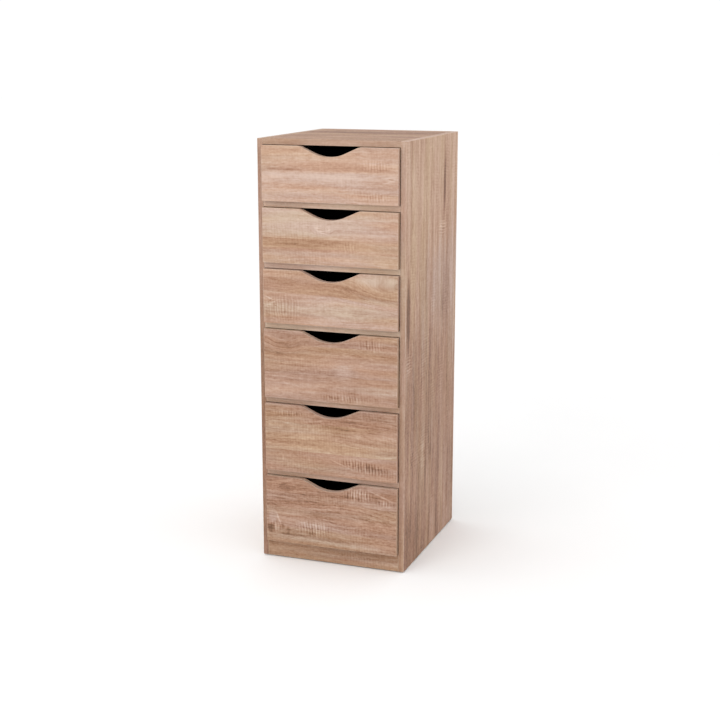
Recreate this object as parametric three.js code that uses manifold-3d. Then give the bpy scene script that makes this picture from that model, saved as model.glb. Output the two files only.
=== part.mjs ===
// Tall chest of six drawers in oak-decor board.
// Units are millimetres, +Z is up, +Y points to the back and the drawers pull out along -Y.
// The origin is on the floor, below the middle of the whole outline.

import * as THREE from 'three';
import { mergeVertices } from 'three/addons/utils/BufferGeometryUtils.js';
import Module from 'manifold-3d';

const wasm = await Module();
wasm.setup();

// ---- driving dimensions ----
const WIDTH = 400;
const HEIGHT = 1120;
const CARCASS_DEPTH = 450;
const BOARD = 15;               // carcass boards and drawer fronts
const BOX_BOARD = 12;           // drawer sides and drawer backs
const THIN_BOARD = 3;           // back panel and drawer bottoms
const ARRIS = 0.6;              // chamfer on every board edge
const JOINT = 0.2;              // hairline between two fixed pieces

const BASE_Z = 2.5;             // underside of the boards that stand on the glides
const FLOOR_Z = 47.5;           // top of the bottom panel
const DRAWER_COUNT = 6;
const SMALL_OPENING = 143;
const LARGE_OPENING = 184.5;
const SMALL_DRAWERS = 3;        // the upper three are small, the lower three are large
const RAIL_DEPTH = 80;

const FRONT_PROUD = 13;         // drawer fronts stand this far ahead of the carcass
const FRONT_GAP_SIDE = 1.5;
const FRONT_GAP_ABOVE = 1.2;
const FRONT_GAP_BELOW = 0.8;

const CUT_HALF_WIDTH = 80;      // finger cut-out, where its slopes meet the top edge
const CUT_DEPTH = 26;
const CUT_RADIUS = 105;         // round bottom of the cut-out
const CUT_SHOULDER = 30;        // round shoulders of the cut-out
const CUT_STEPS = 16;

const BOX_CLEARANCE = 2.5;      // between a drawer side and the carcass side
const BOX_LENGTH = 400;
const BOX_LIFT = 8;             // drawer sides above the floor of their opening
const BOX_HEADROOM = 30;        // drawer sides below the top of their opening
const BOTTOM_LIFT = 8;          // drawer bottom above the lower edge of the sides
const GROOVE_HEIGHT = 3.4;      // grooves that hold the thin boards
const GROOVE_DEPTH = 5.5;
const GROOVE_BITE = 5;          // how far the thin boards reach into their grooves

const RUNNER_HEIGHT = 12;
const RUNNER_THICKNESS = 8.3;
const RUNNER_LENGTH = 390;
const RUNNER_PLAY = 0.5;        // above and below the runner in its groove
const RUNNER_GROOVE_DEPTH = 6.5;
const RUNNER_STOP_GAP = 0.3;    // between the runner and the closed front
const SCREW_HOLE_RADIUS = 2.2;
const SCREW_HEAD_RADIUS = 4;
const SCREW_HEAD_DEPTH = 2.6;
const SCREW_SETBACK = 35;       // from each end of a runner to its outer screws
const HOLE_SIDES = 12;

const BACK_INSET = 8;           // from the rear edges to the groove of the back panel
const PLINTH_REAR_INSET = 30;

const GLIDE_RADIUS = 6.5;
const GLIDE_HEIGHT = BASE_Z - JOINT;
const GLIDE_SETBACK = 26;
const GLIDE_SIDES = 24;

// ---- places worked out from them ----
const HALF_WIDTH = WIDTH / 2;
const INNER_HALF = HALF_WIDTH - BOARD;
const FIXED_HALF = INNER_HALF - JOINT;
const TOTAL_DEPTH = CARCASS_DEPTH + FRONT_PROUD;
const FRONT_FACE_Y = -TOTAL_DEPTH / 2;
const CARCASS_FRONT_Y = FRONT_FACE_Y + FRONT_PROUD;
const CARCASS_BACK_Y = TOTAL_DEPTH / 2;
const FRONT_REAR_Y = FRONT_FACE_Y + BOARD;
const TOP_UNDERSIDE_Z = HEIGHT - BOARD;
const GROOVE_FRONT_Y = CARCASS_BACK_Y - BACK_INSET - GROOVE_HEIGHT;
const BACK_FRONT_Y = GROOVE_FRONT_Y + JOINT;
const BOTTOM_UNDERSIDE_Z = FLOOR_Z - BOARD;
const BOX_HALF = INNER_HALF - BOX_CLEARANCE;
const BOX_INNER_HALF = BOX_HALF - BOX_BOARD;

// ---- materials ----
const matte = (colour, roughness) => () => new THREE.MeshStandardMaterial({
  color: colour,
  roughness,
  metalness: 0,
});
const oakLight = matte(0xd2ab8a, 0.55);
const oakMiddle = matte(0xc39b7a, 0.55);
const oakDark = matte(0xb08a69, 0.55);
const hardboard = matte(0x8a6a4b, 0.85);
const graphiteFoil = matte(0x2b2a2a, 0.6);
const darkHardboard = matte(0x353230, 0.75);
const runnerPlastic = matte(0x1d1d1f, 0.4);
const glidePlastic = matte(0x4a3a2e, 0.5);

// ---- solids ----
function toSolid(geometry) {
  const bare = geometry.clone();
  bare.deleteAttribute('normal');
  bare.deleteAttribute('uv');
  const merged = mergeVertices(bare, 1e-4);
  return new wasm.Manifold(new wasm.Mesh({
    numProp: 3,
    vertProperties: merged.attributes.position.array,
    triVerts: Uint32Array.from(merged.index.array),
  }));
}

function fromSolid(solid) {
  const mesh = solid.getMesh();
  const geometry = new THREE.BufferGeometry();
  geometry.setAttribute('position', new THREE.BufferAttribute(mesh.vertProperties, 3));
  geometry.setIndex(new THREE.BufferAttribute(mesh.triVerts, 1));
  geometry.computeVertexNormals();
  return geometry;
}

function cutAway(geometry, cutters) {
  let solid = toSolid(geometry);
  for (const cutter of cutters) {
    solid = solid.subtract(toSolid(cutter));
  }
  return fromSolid(solid);
}

// A plain box between two corners, for cutters.
function boxBetween(low, high) {
  const geometry = new THREE.BoxGeometry(high[0] - low[0], high[1] - low[1], high[2] - low[2]);
  return geometry.translate((low[0] + high[0]) / 2, (low[1] + high[1]) / 2, (low[2] + high[2]) / 2);
}

// Extrudes an outline drawn in X and Z towards +Y, with a chamfer round both faces.
function extrudeAlongY(shape, yFront, yRear) {
  const geometry = new THREE.ExtrudeGeometry(shape, {
    depth: yRear - yFront - 2 * ARRIS,
    bevelEnabled: true,
    bevelThickness: ARRIS,
    bevelSize: ARRIS,
    bevelOffset: -ARRIS,
    bevelSegments: 1,
    curveSegments: CUT_STEPS,
  });
  geometry.rotateX(Math.PI / 2);
  return geometry.translate(0, yRear - ARRIS, 0);
}

// A rectangle whose corners are cut off by the arris.
function boardOutline(xLow, xHigh, zLow, zHigh) {
  return new THREE.Shape([
    new THREE.Vector2(xLow + ARRIS, zLow),
    new THREE.Vector2(xHigh - ARRIS, zLow),
    new THREE.Vector2(xHigh, zLow + ARRIS),
    new THREE.Vector2(xHigh, zHigh - ARRIS),
    new THREE.Vector2(xHigh - ARRIS, zHigh),
    new THREE.Vector2(xLow + ARRIS, zHigh),
    new THREE.Vector2(xLow, zHigh - ARRIS),
    new THREE.Vector2(xLow, zLow + ARRIS),
  ]);
}

// A board between two corners, with a small chamfer on all twelve edges.
function board(low, high) {
  return extrudeAlongY(boardOutline(low[0], high[0], low[2], high[2]), low[1], high[1]);
}

function named(name, geometry, material) {
  const mesh = new THREE.Mesh(geometry, material());
  mesh.name = name;
  return mesh;
}

// ---- carcass ----
function sidePanel(side) {
  const outer = side * HALF_WIDTH;
  const inner = side * INNER_HALF;
  const low = [Math.min(outer, inner), CARCASS_FRONT_Y, BASE_Z];
  const high = [Math.max(outer, inner), CARCASS_BACK_Y, HEIGHT];
  const grooveDeep = inner + side * GROOVE_DEPTH;
  const grooveOpen = inner - side;
  const groove = boxBetween(
    [Math.min(grooveDeep, grooveOpen), GROOVE_FRONT_Y, BASE_Z - 1],
    [Math.max(grooveDeep, grooveOpen), GROOVE_FRONT_Y + GROOVE_HEIGHT, TOP_UNDERSIDE_Z + GROOVE_DEPTH],
  );
  return cutAway(board(low, high), [groove]);
}

function topPanel() {
  const plain = board(
    [-FIXED_HALF, CARCASS_FRONT_Y, TOP_UNDERSIDE_Z],
    [FIXED_HALF, CARCASS_BACK_Y, HEIGHT],
  );
  const groove = boxBetween(
    [-HALF_WIDTH, GROOVE_FRONT_Y, TOP_UNDERSIDE_Z - 1],
    [HALF_WIDTH, GROOVE_FRONT_Y + GROOVE_HEIGHT, TOP_UNDERSIDE_Z + GROOVE_DEPTH],
  );
  return cutAway(plain, [groove]);
}

function bottomPanel() {
  return board(
    [-FIXED_HALF, CARCASS_FRONT_Y + BOARD + JOINT, BOTTOM_UNDERSIDE_Z],
    [FIXED_HALF, BACK_FRONT_Y - JOINT, FLOOR_Z],
  );
}

function plinthFront() {
  return board(
    [-FIXED_HALF, CARCASS_FRONT_Y, BASE_Z],
    [FIXED_HALF, CARCASS_FRONT_Y + BOARD, FLOOR_Z],
  );
}

function plinthRear() {
  const rearY = BACK_FRONT_Y - PLINTH_REAR_INSET;
  return board(
    [-FIXED_HALF, rearY - BOARD, BASE_Z],
    [FIXED_HALF, rearY, BOTTOM_UNDERSIDE_Z - JOINT],
  );
}

function rail(zLow) {
  return board(
    [-FIXED_HALF, CARCASS_FRONT_Y, zLow],
    [FIXED_HALF, CARCASS_FRONT_Y + RAIL_DEPTH, zLow + BOARD],
  );
}

function backPanel() {
  const half = INNER_HALF + GROOVE_BITE;
  return boxBetween(
    [-half, BACK_FRONT_Y, BOTTOM_UNDERSIDE_Z],
    [half, BACK_FRONT_Y + THIN_BOARD, TOP_UNDERSIDE_Z + GROOVE_BITE],
  );
}

function glide() {
  const profile = [
    new THREE.Vector2(0, 0),
    new THREE.Vector2(GLIDE_RADIUS - ARRIS, 0),
    new THREE.Vector2(GLIDE_RADIUS, ARRIS),
    new THREE.Vector2(GLIDE_RADIUS, GLIDE_HEIGHT),
    new THREE.Vector2(0, GLIDE_HEIGHT),
  ];
  return new THREE.LatheGeometry(profile, GLIDE_SIDES).rotateX(Math.PI / 2);
}

// ---- drawers ----
// The top edge dips into a shallow bowl: round shoulder, straight slope, round bottom, and back up.
function frontOutline(zLow, zHigh) {
  const half = INNER_HALF - FRONT_GAP_SIDE;
  const centreZ = zHigh - CUT_DEPTH + CUT_RADIUS;
  const reach = Math.hypot(CUT_HALF_WIDTH, centreZ - zHigh);
  const lean = Math.atan2(CUT_HALF_WIDTH, centreZ - zHigh);
  const slope = lean - Math.acos(CUT_RADIUS / reach);
  const shoulderX = CUT_HALF_WIDTH + CUT_SHOULDER * Math.tan(slope / 2);
  const down = -Math.PI / 2;
  const up = Math.PI / 2;
  const shape = new THREE.Shape();
  shape.moveTo(-half + ARRIS, zLow);
  shape.lineTo(half - ARRIS, zLow);
  shape.lineTo(half, zLow + ARRIS);
  shape.lineTo(half, zHigh - ARRIS);
  shape.lineTo(half - ARRIS, zHigh);
  shape.lineTo(shoulderX, zHigh);
  shape.absarc(shoulderX, zHigh - CUT_SHOULDER, CUT_SHOULDER, up, up + slope, false);
  shape.absarc(0, centreZ, CUT_RADIUS, down + slope, down - slope, true);
  shape.absarc(-shoulderX, zHigh - CUT_SHOULDER, CUT_SHOULDER, up - slope, up, false);
  shape.lineTo(-half + ARRIS, zHigh);
  shape.lineTo(-half, zHigh - ARRIS);
  shape.lineTo(-half, zLow + ARRIS);
  shape.closePath();
  return shape;
}

function drawerFront(opening) {
  const plain = extrudeAlongY(
    frontOutline(opening.low + FRONT_GAP_BELOW, opening.high - FRONT_GAP_ABOVE),
    FRONT_FACE_Y,
    FRONT_REAR_Y,
  );
  const grooveLow = opening.low + BOX_LIFT + BOTTOM_LIFT;
  const grooveHalf = BOX_INNER_HALF + GROOVE_DEPTH;
  const groove = boxBetween(
    [-grooveHalf, FRONT_REAR_Y - GROOVE_DEPTH, grooveLow],
    [grooveHalf, FRONT_REAR_Y + 1, grooveLow + GROOVE_HEIGHT],
  );
  return cutAway(plain, [groove]);
}

function drawerSide(side, opening) {
  const outer = side * BOX_HALF;
  const inner = side * BOX_INNER_HALF;
  const yFront = FRONT_REAR_Y + JOINT;
  const yRear = yFront + BOX_LENGTH;
  const plain = board(
    [Math.min(outer, inner), yFront, opening.low + BOX_LIFT],
    [Math.max(outer, inner), yRear, opening.high - BOX_HEADROOM],
  );
  const runnerLow = runnerZ(opening) - RUNNER_PLAY;
  const runnerDeep = outer - side * RUNNER_GROOVE_DEPTH;
  const runnerGroove = boxBetween(
    [Math.min(outer + side, runnerDeep), yFront - 1, runnerLow],
    [Math.max(outer + side, runnerDeep), yRear + 1, runnerLow + RUNNER_HEIGHT + 2 * RUNNER_PLAY],
  );
  const bottomLow = opening.low + BOX_LIFT + BOTTOM_LIFT;
  const bottomDeep = inner + side * GROOVE_DEPTH;
  const bottomGroove = boxBetween(
    [Math.min(inner - side, bottomDeep), yFront - 1, bottomLow],
    [Math.max(inner - side, bottomDeep), yRear + 1, bottomLow + GROOVE_HEIGHT],
  );
  return cutAway(plain, [runnerGroove, bottomGroove]);
}

function drawerBack(opening) {
  const yRear = FRONT_REAR_Y + JOINT + BOX_LENGTH;
  return board(
    [-BOX_INNER_HALF + JOINT, yRear - BOX_BOARD, opening.low + BOX_LIFT + BOTTOM_LIFT + GROOVE_HEIGHT],
    [BOX_INNER_HALF - JOINT, yRear, opening.high - BOX_HEADROOM],
  );
}

function drawerBottom(opening) {
  const half = BOX_INNER_HALF + GROOVE_BITE;
  const zLow = opening.low + BOX_LIFT + BOTTOM_LIFT + JOINT;
  return boxBetween(
    [-half, FRONT_REAR_Y - GROOVE_BITE, zLow],
    [half, FRONT_REAR_Y + JOINT + BOX_LENGTH, zLow + THIN_BOARD],
  );
}

// ---- runners ----
function runnerZ(opening) {
  return (opening.low + BOX_LIFT + opening.high - BOX_HEADROOM - RUNNER_HEIGHT) / 2;
}

function screwHole(side, y, z) {
  const depth = RUNNER_THICKNESS + 2;
  const shank = new THREE.CylinderGeometry(SCREW_HOLE_RADIUS, SCREW_HOLE_RADIUS, depth, HOLE_SIDES);
  shank.rotateZ(Math.PI / 2);
  shank.translate(side * (FIXED_HALF - RUNNER_THICKNESS / 2), y, z);
  const inside = side * (FIXED_HALF - RUNNER_THICKNESS);
  const head = new THREE.CylinderGeometry(
    SCREW_HEAD_RADIUS, SCREW_HOLE_RADIUS, 2 * SCREW_HEAD_DEPTH, HOLE_SIDES,
  );
  head.rotateZ(side * Math.PI / 2);
  head.translate(inside, y, z);
  return [shank, head];
}

function runner(side, opening) {
  const outer = side * FIXED_HALF;
  const inner = side * (FIXED_HALF - RUNNER_THICKNESS);
  const zLow = runnerZ(opening);
  const yFront = FRONT_REAR_Y + RUNNER_STOP_GAP;
  const plain = board(
    [Math.min(outer, inner), yFront, zLow],
    [Math.max(outer, inner), yFront + RUNNER_LENGTH, zLow + RUNNER_HEIGHT],
  );
  const holes = [];
  for (const along of [SCREW_SETBACK, RUNNER_LENGTH / 2, RUNNER_LENGTH - SCREW_SETBACK]) {
    holes.push(...screwHole(side, yFront + along, zLow + RUNNER_HEIGHT / 2));
  }
  return cutAway(plain, holes);
}

// ---- the openings of the drawers, counted from the top ----
function drawerOpenings() {
  const openings = [];
  let high = TOP_UNDERSIDE_Z;
  for (let index = 0; index < DRAWER_COUNT; index += 1) {
    const height = index < SMALL_DRAWERS ? SMALL_OPENING : LARGE_OPENING;
    openings.push({ low: high - height, high });
    high -= height + BOARD;
  }
  return openings;
}

// ---- assembly ----
const chest = new THREE.Group();
chest.add(named('side_panel_left', sidePanel(-1), oakMiddle));
chest.add(named('side_panel_right', sidePanel(1), oakMiddle));
chest.add(named('top_panel', topPanel(), oakMiddle));
chest.add(named('bottom_panel', bottomPanel(), oakDark));
chest.add(named('plinth_front', plinthFront(), oakDark));
chest.add(named('plinth_rear', plinthRear(), oakDark));
chest.add(named('back_panel', backPanel(), hardboard));

const glideRows = [
  ['front', CARCASS_FRONT_Y + GLIDE_SETBACK],
  ['rear', CARCASS_BACK_Y - GLIDE_SETBACK],
];
for (const [row, y] of glideRows) {
  for (const [hand, side] of [['left', -1], ['right', 1]]) {
    const foot = named(`glide_${row}_${hand}`, glide(), glidePlastic);
    foot.position.set(side * (HALF_WIDTH - BOARD / 2), y, 0);
    chest.add(foot);
  }
}

drawerOpenings().forEach((opening, index) => {
  const number = index + 1;
  const drawer = `drawer_${number}`;
  const face = index < SMALL_DRAWERS ? oakLight : oakMiddle;
  if (number < DRAWER_COUNT) {
    chest.add(named(`rail_${number}`, rail(opening.low - BOARD), oakDark));
  }
  chest.add(named(`${drawer}_front`, drawerFront(opening), face));
  chest.add(named(`${drawer}_back`, drawerBack(opening), graphiteFoil));
  chest.add(named(`${drawer}_bottom`, drawerBottom(opening), darkHardboard));
  for (const [hand, side] of [['left', -1], ['right', 1]]) {
    chest.add(named(`${drawer}_side_${hand}`, drawerSide(side, opening), graphiteFoil));
    chest.add(named(`${drawer}_runner_${hand}`, runner(side, opening), runnerPlastic));
  }
});

export default chest;
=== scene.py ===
"""Looks of the tall chest of drawers: its boards, drawer boxes, runners and fixings.

All lengths are in metres, in the CAD frame: the front faces -Y and the floor is at z = 0.
"""
import math

import bmesh
import bpy
from mathutils import Matrix, Vector


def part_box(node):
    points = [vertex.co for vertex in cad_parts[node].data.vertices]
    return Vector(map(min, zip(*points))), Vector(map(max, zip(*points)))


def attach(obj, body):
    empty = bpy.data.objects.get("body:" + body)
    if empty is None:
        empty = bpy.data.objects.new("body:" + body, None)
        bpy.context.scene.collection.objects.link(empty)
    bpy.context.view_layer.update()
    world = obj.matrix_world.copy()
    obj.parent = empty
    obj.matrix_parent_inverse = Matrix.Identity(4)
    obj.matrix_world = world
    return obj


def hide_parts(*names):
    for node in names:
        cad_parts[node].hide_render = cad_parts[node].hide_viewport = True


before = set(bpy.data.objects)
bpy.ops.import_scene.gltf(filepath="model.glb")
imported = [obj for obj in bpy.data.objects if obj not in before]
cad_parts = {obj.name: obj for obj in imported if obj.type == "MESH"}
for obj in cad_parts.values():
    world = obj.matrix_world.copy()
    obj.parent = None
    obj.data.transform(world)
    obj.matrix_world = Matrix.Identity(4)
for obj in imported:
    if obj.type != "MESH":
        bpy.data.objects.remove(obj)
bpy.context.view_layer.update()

MM = 0.001
DRAWERS = 6
SIDES = (("left", -1), ("right", 1))

# The camera stands to the right of the front by its azimuth and looks down by its elevation, in
# degrees. Its lens and sensor are in millimetres.
CAMERA_AZIMUTH = 20.1
CAMERA_ELEVATION = 12.87
CAMERA_PLACE = (1.2473, -3.4128, 1.3412)
CAMERA_LENS = 68.15
CAMERA_SENSOR = 36.0
CAMERA_NEAR = 0.05
CAMERA_FAR = 100.0
WORLD_LIGHT = 1.05
KEY_PLACE = (-0.28, -1.65, 1.75)
KEY_AIM = (0.0, -0.2, 0.95)
KEY_SIZE = 1.0
KEY_WATTS = 8.1
FLOOR_HALF_SIZE = 30.0


def srgb(red, green, blue):
    """A linear colour from the usual 0 to 255 values."""
    def linear(value):
        value /= 255
        return value / 12.92 if value <= 0.04045 else ((value + 0.055) / 1.055) ** 2.4
    return (linear(red), linear(green), linear(blue), 1.0)


# ======================================================================================
# Node helpers
# ======================================================================================
class Graph:
    """Short calls for building a node tree. Values are numbers or the sockets of other nodes."""

    def __init__(self, tree):
        self.nodes = tree.nodes
        self.links = tree.links

    def add(self, kind, inputs=None, **settings):
        node = self.nodes.new(kind)
        for key, value in settings.items():
            setattr(node, key, value)
        for key, value in (inputs or {}).items():
            self.feed(node.inputs[key], value)
        return node

    def feed(self, socket, value):
        """Links a socket, or sets a number on it."""
        if isinstance(value, bpy.types.NodeSocket):
            self.links.new(value, socket)
        else:
            socket.default_value = value

    def math(self, operation, first, second=0.0, clamp=False):
        inputs = {0: first, 1: second}
        node = self.add("ShaderNodeMath", inputs, operation=operation, use_clamp=clamp)
        return node.outputs[0]

    def vector(self, operation, first, second):
        node = self.add("ShaderNodeVectorMath", {0: first, 1: second}, operation=operation)
        return node.outputs[0]

    def join(self, x, y, z=0.0):
        return self.add("ShaderNodeCombineXYZ", {0: x, 1: y, 2: z}).outputs[0]

    def split(self, vector):
        return self.add("ShaderNodeSeparateXYZ", {0: vector}).outputs

    def noise(self, vector, detail=2.0, roughness=0.5):
        node = self.add(
            "ShaderNodeTexNoise",
            {"Vector": vector, "Scale": 1.0, "Detail": detail, "Roughness": roughness},
        )
        return node.outputs["Fac"]

    def centred(self, value, gain):
        """A 0 to 1 noise as gain times its distance from the middle."""
        return self.math("MULTIPLY", self.math("SUBTRACT", value, 0.5), gain)

    def ramp_range(self, value, low, high, to_low=0.0, to_high=1.0):
        """A smooth step from to_low to to_high while value goes from low to high."""
        node = self.add(
            "ShaderNodeMapRange",
            {"Value": value, 1: low, 2: high, 3: to_low, 4: to_high},
            interpolation_type="SMOOTHSTEP",
        )
        return node.outputs[0]

    def colours(self, value, stops):
        """A colour ramp through (position, colour) stops."""
        node = self.add("ShaderNodeValToRGB", {0: value})
        ramp = node.color_ramp
        while len(ramp.elements) < len(stops):
            ramp.elements.new(0.5)
        for element, (position, colour) in zip(ramp.elements, stops):
            element.position = position
            element.color = colour
        return node.outputs[0]

    def mix(self, factor, first, second, blend="MIX"):
        node = self.add("ShaderNodeMix", data_type="RGBA", blend_type=blend)
        self.feed(node.inputs[0], factor)
        self.feed(node.inputs[6], first)
        self.feed(node.inputs[7], second)
        return node.outputs[2]

    def sum(self, *values):
        total = values[0]
        for value in values[1:]:
            total = self.math("ADD", total, value)
        return total


def new_group(name, inputs, outputs):
    """An empty node group with float, vector and colour sockets."""
    kinds = {"float": "NodeSocketFloat", "vector": "NodeSocketVector", "colour": "NodeSocketColor"}
    group = bpy.data.node_groups.new(name, "ShaderNodeTree")
    for label, kind in inputs:
        group.interface.new_socket(name=label, in_out="INPUT", socket_type=kinds[kind])
    for label, kind in outputs:
        group.interface.new_socket(name=label, in_out="OUTPUT", socket_type=kinds[kind])
    graph = Graph(group)
    entry = graph.add("NodeGroupInput")
    leave = graph.add("NodeGroupOutput")
    return group, graph, entry.outputs, leave.inputs


def new_material(name, roughness, specular=0.5, metallic=0.0):
    """A material with a Principled shader whose constant values sit on its own sockets."""
    material = bpy.data.materials.new(name)
    material.use_nodes = True
    graph = Graph(material.node_tree)
    shader = graph.nodes["Principled BSDF"]
    shader.inputs["Roughness"].default_value = roughness
    shader.inputs["Specular IOR Level"].default_value = specular
    shader.inputs["Metallic"].default_value = metallic
    return material, graph, shader


def bump(graph, shader, height, distance):
    """Relief of the given depth in metres."""
    node = graph.add("ShaderNodeBump", {"Height": height, "Distance": distance, "Strength": 1.0})
    graph.links.new(node.outputs[0], shader.inputs["Normal"])


# ======================================================================================
# Oak decor
# ======================================================================================
# Breadth of a printed plank, distance of the growth rings, distance of the saw marks.
PLANK = 0.078
RING_PITCH = 0.0046
SAW_PITCH = 0.0078

OAK_LIGHT = srgb(206, 182, 162)
OAK_CREAM = srgb(192, 166, 147)
OAK_TAN = srgb(177, 146, 126)
OAK_BROWN = srgb(153, 118, 96)
OAK_DARK = srgb(114, 84, 66)


def oak_group():
    """The printed decor: u runs along the grain and v across it, both in metres."""
    group, g, given, result = new_group(
        "oak_decor",
        [("Grain", "vector"), ("Shift", "vector"), ("Tone", "float"), ("Contrast", "float"),
         ("Figure", "float"), ("Saw", "float"), ("Saw patch", "float"), ("Shade", "float"),
         ("Swirl", "float"), ("Warmth", "float"), ("Rich", "float"), ("Rim", "float"),
         ("Breadth", "float")],
        [("Color", "colour"), ("Roughness", "float"), ("Height", "float")],
    )
    u, v, _ = g.split(g.vector("ADD", given["Grain"], given["Shift"]))
    seed = g.split(given["Shift"])[2]

    def spot(along, across, line, layer):
        """A place for noise, with so many features to the metre along the grain and across it.

        line is v, or wavy to follow the wandering grain.
        """
        return g.join(g.math("MULTIPLY", u, along), g.math("MULTIPLY", line, across), layer)

    # the grain wanders by up to 10 mm over a board and by up to 3 mm over a shorter way
    slow = g.noise(spot(1.7, 6.0, v, seed))
    quick = g.noise(spot(15.0, 50.0, v, seed))
    wavy = g.sum(v, g.centred(slow, 0.020), g.centred(quick, 0.0052), given["Swirl"])

    # planks side by side, each with its own layer of the noise
    plank_place = g.math("DIVIDE", wavy, PLANK)
    plank = g.math("FLOOR", plank_place)
    within = g.math("SUBTRACT", g.math("FRACT", plank_place), 0.5)
    plank_number = {"Vector": g.join(plank, seed, 3.0)}
    chance = g.add("ShaderNodeTexWhiteNoise", plank_number, noise_dimensions="3D")
    luck, luck_two, luck_three = g.split(chance.outputs["Color"])
    layer = g.math("ADD", seed, g.math("MULTIPLY", plank, 7.31))

    def streaks(along, across, detail, roughness=0.55):
        return g.noise(spot(along, across, wavy, layer), detail, roughness)

    broad = streaks(1.7, 34.0, 2.0)
    middle = streaks(6.5, 115.0, 3.0, 0.6)
    fine = streaks(26.0, 420.0, 3.0, 0.65)
    mottle = streaks(105.0, 210.0, 2.0)
    pore = g.ramp_range(streaks(60.0, 1250.0, 1.0), 0.60, 0.74)

    # growth rings of flat-cut boards: arches where the cut runs near the heart, straight lines
    # away from it
    rise = g.noise(g.join(g.math("MULTIPLY", u, 2.1), layer, seed), 1.0)
    depth = g.math("ADD", 0.012, g.math("MULTIPLY", rise, 0.075))
    off_heart = g.math("ADD", g.math("MULTIPLY", within, PLANK), g.centred(luck_two, 0.05))
    squares = g.math("ADD", g.math("POWER", off_heart, 2.0), g.math("POWER", depth, 2.0))
    rings = g.math("DIVIDE", g.math("SQRT", squares), RING_PITCH)
    phase = g.math("ADD", rings, g.math("MULTIPLY", middle, 1.6))
    ring = g.math("POWER", g.math("FRACT", phase), 2.2)
    arch_room = g.noise(spot(2.6, 9.0, v, g.math("ADD", seed, 4.0)))
    ring_tone = g.math("MULTIPLY", ring, g.ramp_range(arch_room, 0.38, 0.66))

    # saw marks: short lines across the grain, a little slanted and uneven, strongest in patches
    drift = g.noise(spot(18.0, 20.0, v, layer), 1.0)
    turn = g.sum(
        g.math("MULTIPLY", u, 2 * math.pi / SAW_PITCH),
        g.math("MULTIPLY", v, 50.0),
        g.centred(drift, 9.0),
    )
    stroke = g.noise(spot(118.0, 30.0, v, layer), 1.0)
    tick = g.sum(0.5, g.math("MULTIPLY", g.math("SINE", turn), 0.16), g.centred(stroke, 0.75))
    patch_noise = g.noise(spot(8.0, 17.0, v, g.math("ADD", seed, 9.0)), 1.0)
    chance_patch = g.math("MULTIPLY", g.ramp_range(patch_noise, 0.53, 0.72), given["Saw"])
    patch = g.math("MAXIMUM", chance_patch, given["Saw patch"])
    tick_tone = g.math("MULTIPLY", g.centred(tick, 1.15), g.math("ADD", patch, 0.08))

    variation = g.sum(
        g.math("MULTIPLY", g.centred(broad, 0.72), given["Breadth"]),
        g.centred(middle, 0.84),
        g.centred(fine, 0.60),
        g.centred(mottle, 0.62),
        g.centred(luck, 0.12),
        g.math("MULTIPLY", g.math("SUBTRACT", ring_tone, 0.12), given["Figure"]),
        tick_tone,
    )
    # the rim lightens the tone on the arrises as a painted highlight
    tone = g.sum(
        given["Tone"],
        g.math("MULTIPLY", variation, given["Contrast"]),
        given["Shade"],
        g.math("MULTIPLY", pore, 0.16),
        g.math("MULTIPLY", given["Rim"], -0.42),
    )
    colour = g.colours(tone, [
        (0.0, OAK_LIGHT), (0.28, OAK_CREAM), (0.50, OAK_TAN), (0.76, OAK_BROWN), (1.0, OAK_DARK),
    ])

    # the printed colour drifts between pinker and yellower, and between greyer and richer
    hue_noise = g.noise(spot(3.1, 21.0, wavy, layer), 1.0)
    hue = g.sum(g.centred(hue_noise, 1.9), g.centred(luck_three, 0.5), given["Warmth"])
    pinker = g.mix(0.5, colour, (1.0, 0.94, 0.98, 1.0), "MULTIPLY")
    yellower = g.mix(0.5, colour, (0.985, 1.0, 0.88, 1.0), "MULTIPLY")
    warmed = g.mix(g.ramp_range(hue, -0.35, 0.35), pinker, yellower)
    depth_noise = g.noise(spot(4.3, 46.0, wavy, g.math("ADD", layer, 2.0)))
    richness = g.sum(g.centred(depth_noise, 1.7), given["Rich"], g.centred(tone, 0.5))
    greyer = g.mix(0.5, warmed, (0.94, 1.0, 1.10, 1.0), "MULTIPLY")
    richer = g.mix(0.5, warmed, (1.06, 0.97, 0.84, 1.0), "MULTIPLY")
    tinted = g.mix(g.ramp_range(richness, -0.45, 0.45), greyer, richer)

    g.links.new(tinted, result["Color"])
    sheen = g.sum(0.58, g.centred(middle, 0.22), g.math("MULTIPLY", pore, 0.12))
    g.links.new(sheen, result["Roughness"])
    relief = g.sum(
        g.math("MULTIPLY", fine, 0.5),
        g.math("MULTIPLY", pore, -0.7),
        g.math("MULTIPLY", tick_tone, -0.4),
    )
    g.links.new(relief, result["Height"])
    return group


def rim_group():
    """1 on the arrises of a board, fading to 0 within about two millimetres; the decor is lightened
    there as a painted highlight.
    """
    group, g, given, result = new_group(
        "board_rim",
        [("Low", "vector"), ("High", "vector"), ("Width", "float")],
        [("Rim", "float")],
    )
    place = g.add("ShaderNodeTexCoord").outputs["Object"]
    from_low = g.vector("SUBTRACT", place, given["Low"])
    from_high = g.vector("SUBTRACT", given["High"], place)
    dx, dy, dz = g.split(g.vector("MINIMUM", from_low, from_high))
    # two of the three distances to the outer faces are small on an arris, so the middle one is
    not_largest = g.math("MINIMUM", g.math("MAXIMUM", dx, dy), dz)
    second = g.math("MAXIMUM", g.math("MINIMUM", dx, dy), not_largest)
    uneven = g.noise(g.vector("MULTIPLY", place, (90.0, 90.0, 90.0)), 2.0)
    # the painted highlight's width varies a little along the arris
    highlight_width = g.math("MULTIPLY", given["Width"], g.ramp_range(uneven, 0.3, 0.7, 0.5, 1.2))
    g.links.new(g.math("SUBTRACT", 1.0, g.math("DIVIDE", second, highlight_width), clamp=True), result["Rim"])
    return group


OAK = oak_group()
RIM = rim_group()
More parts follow.
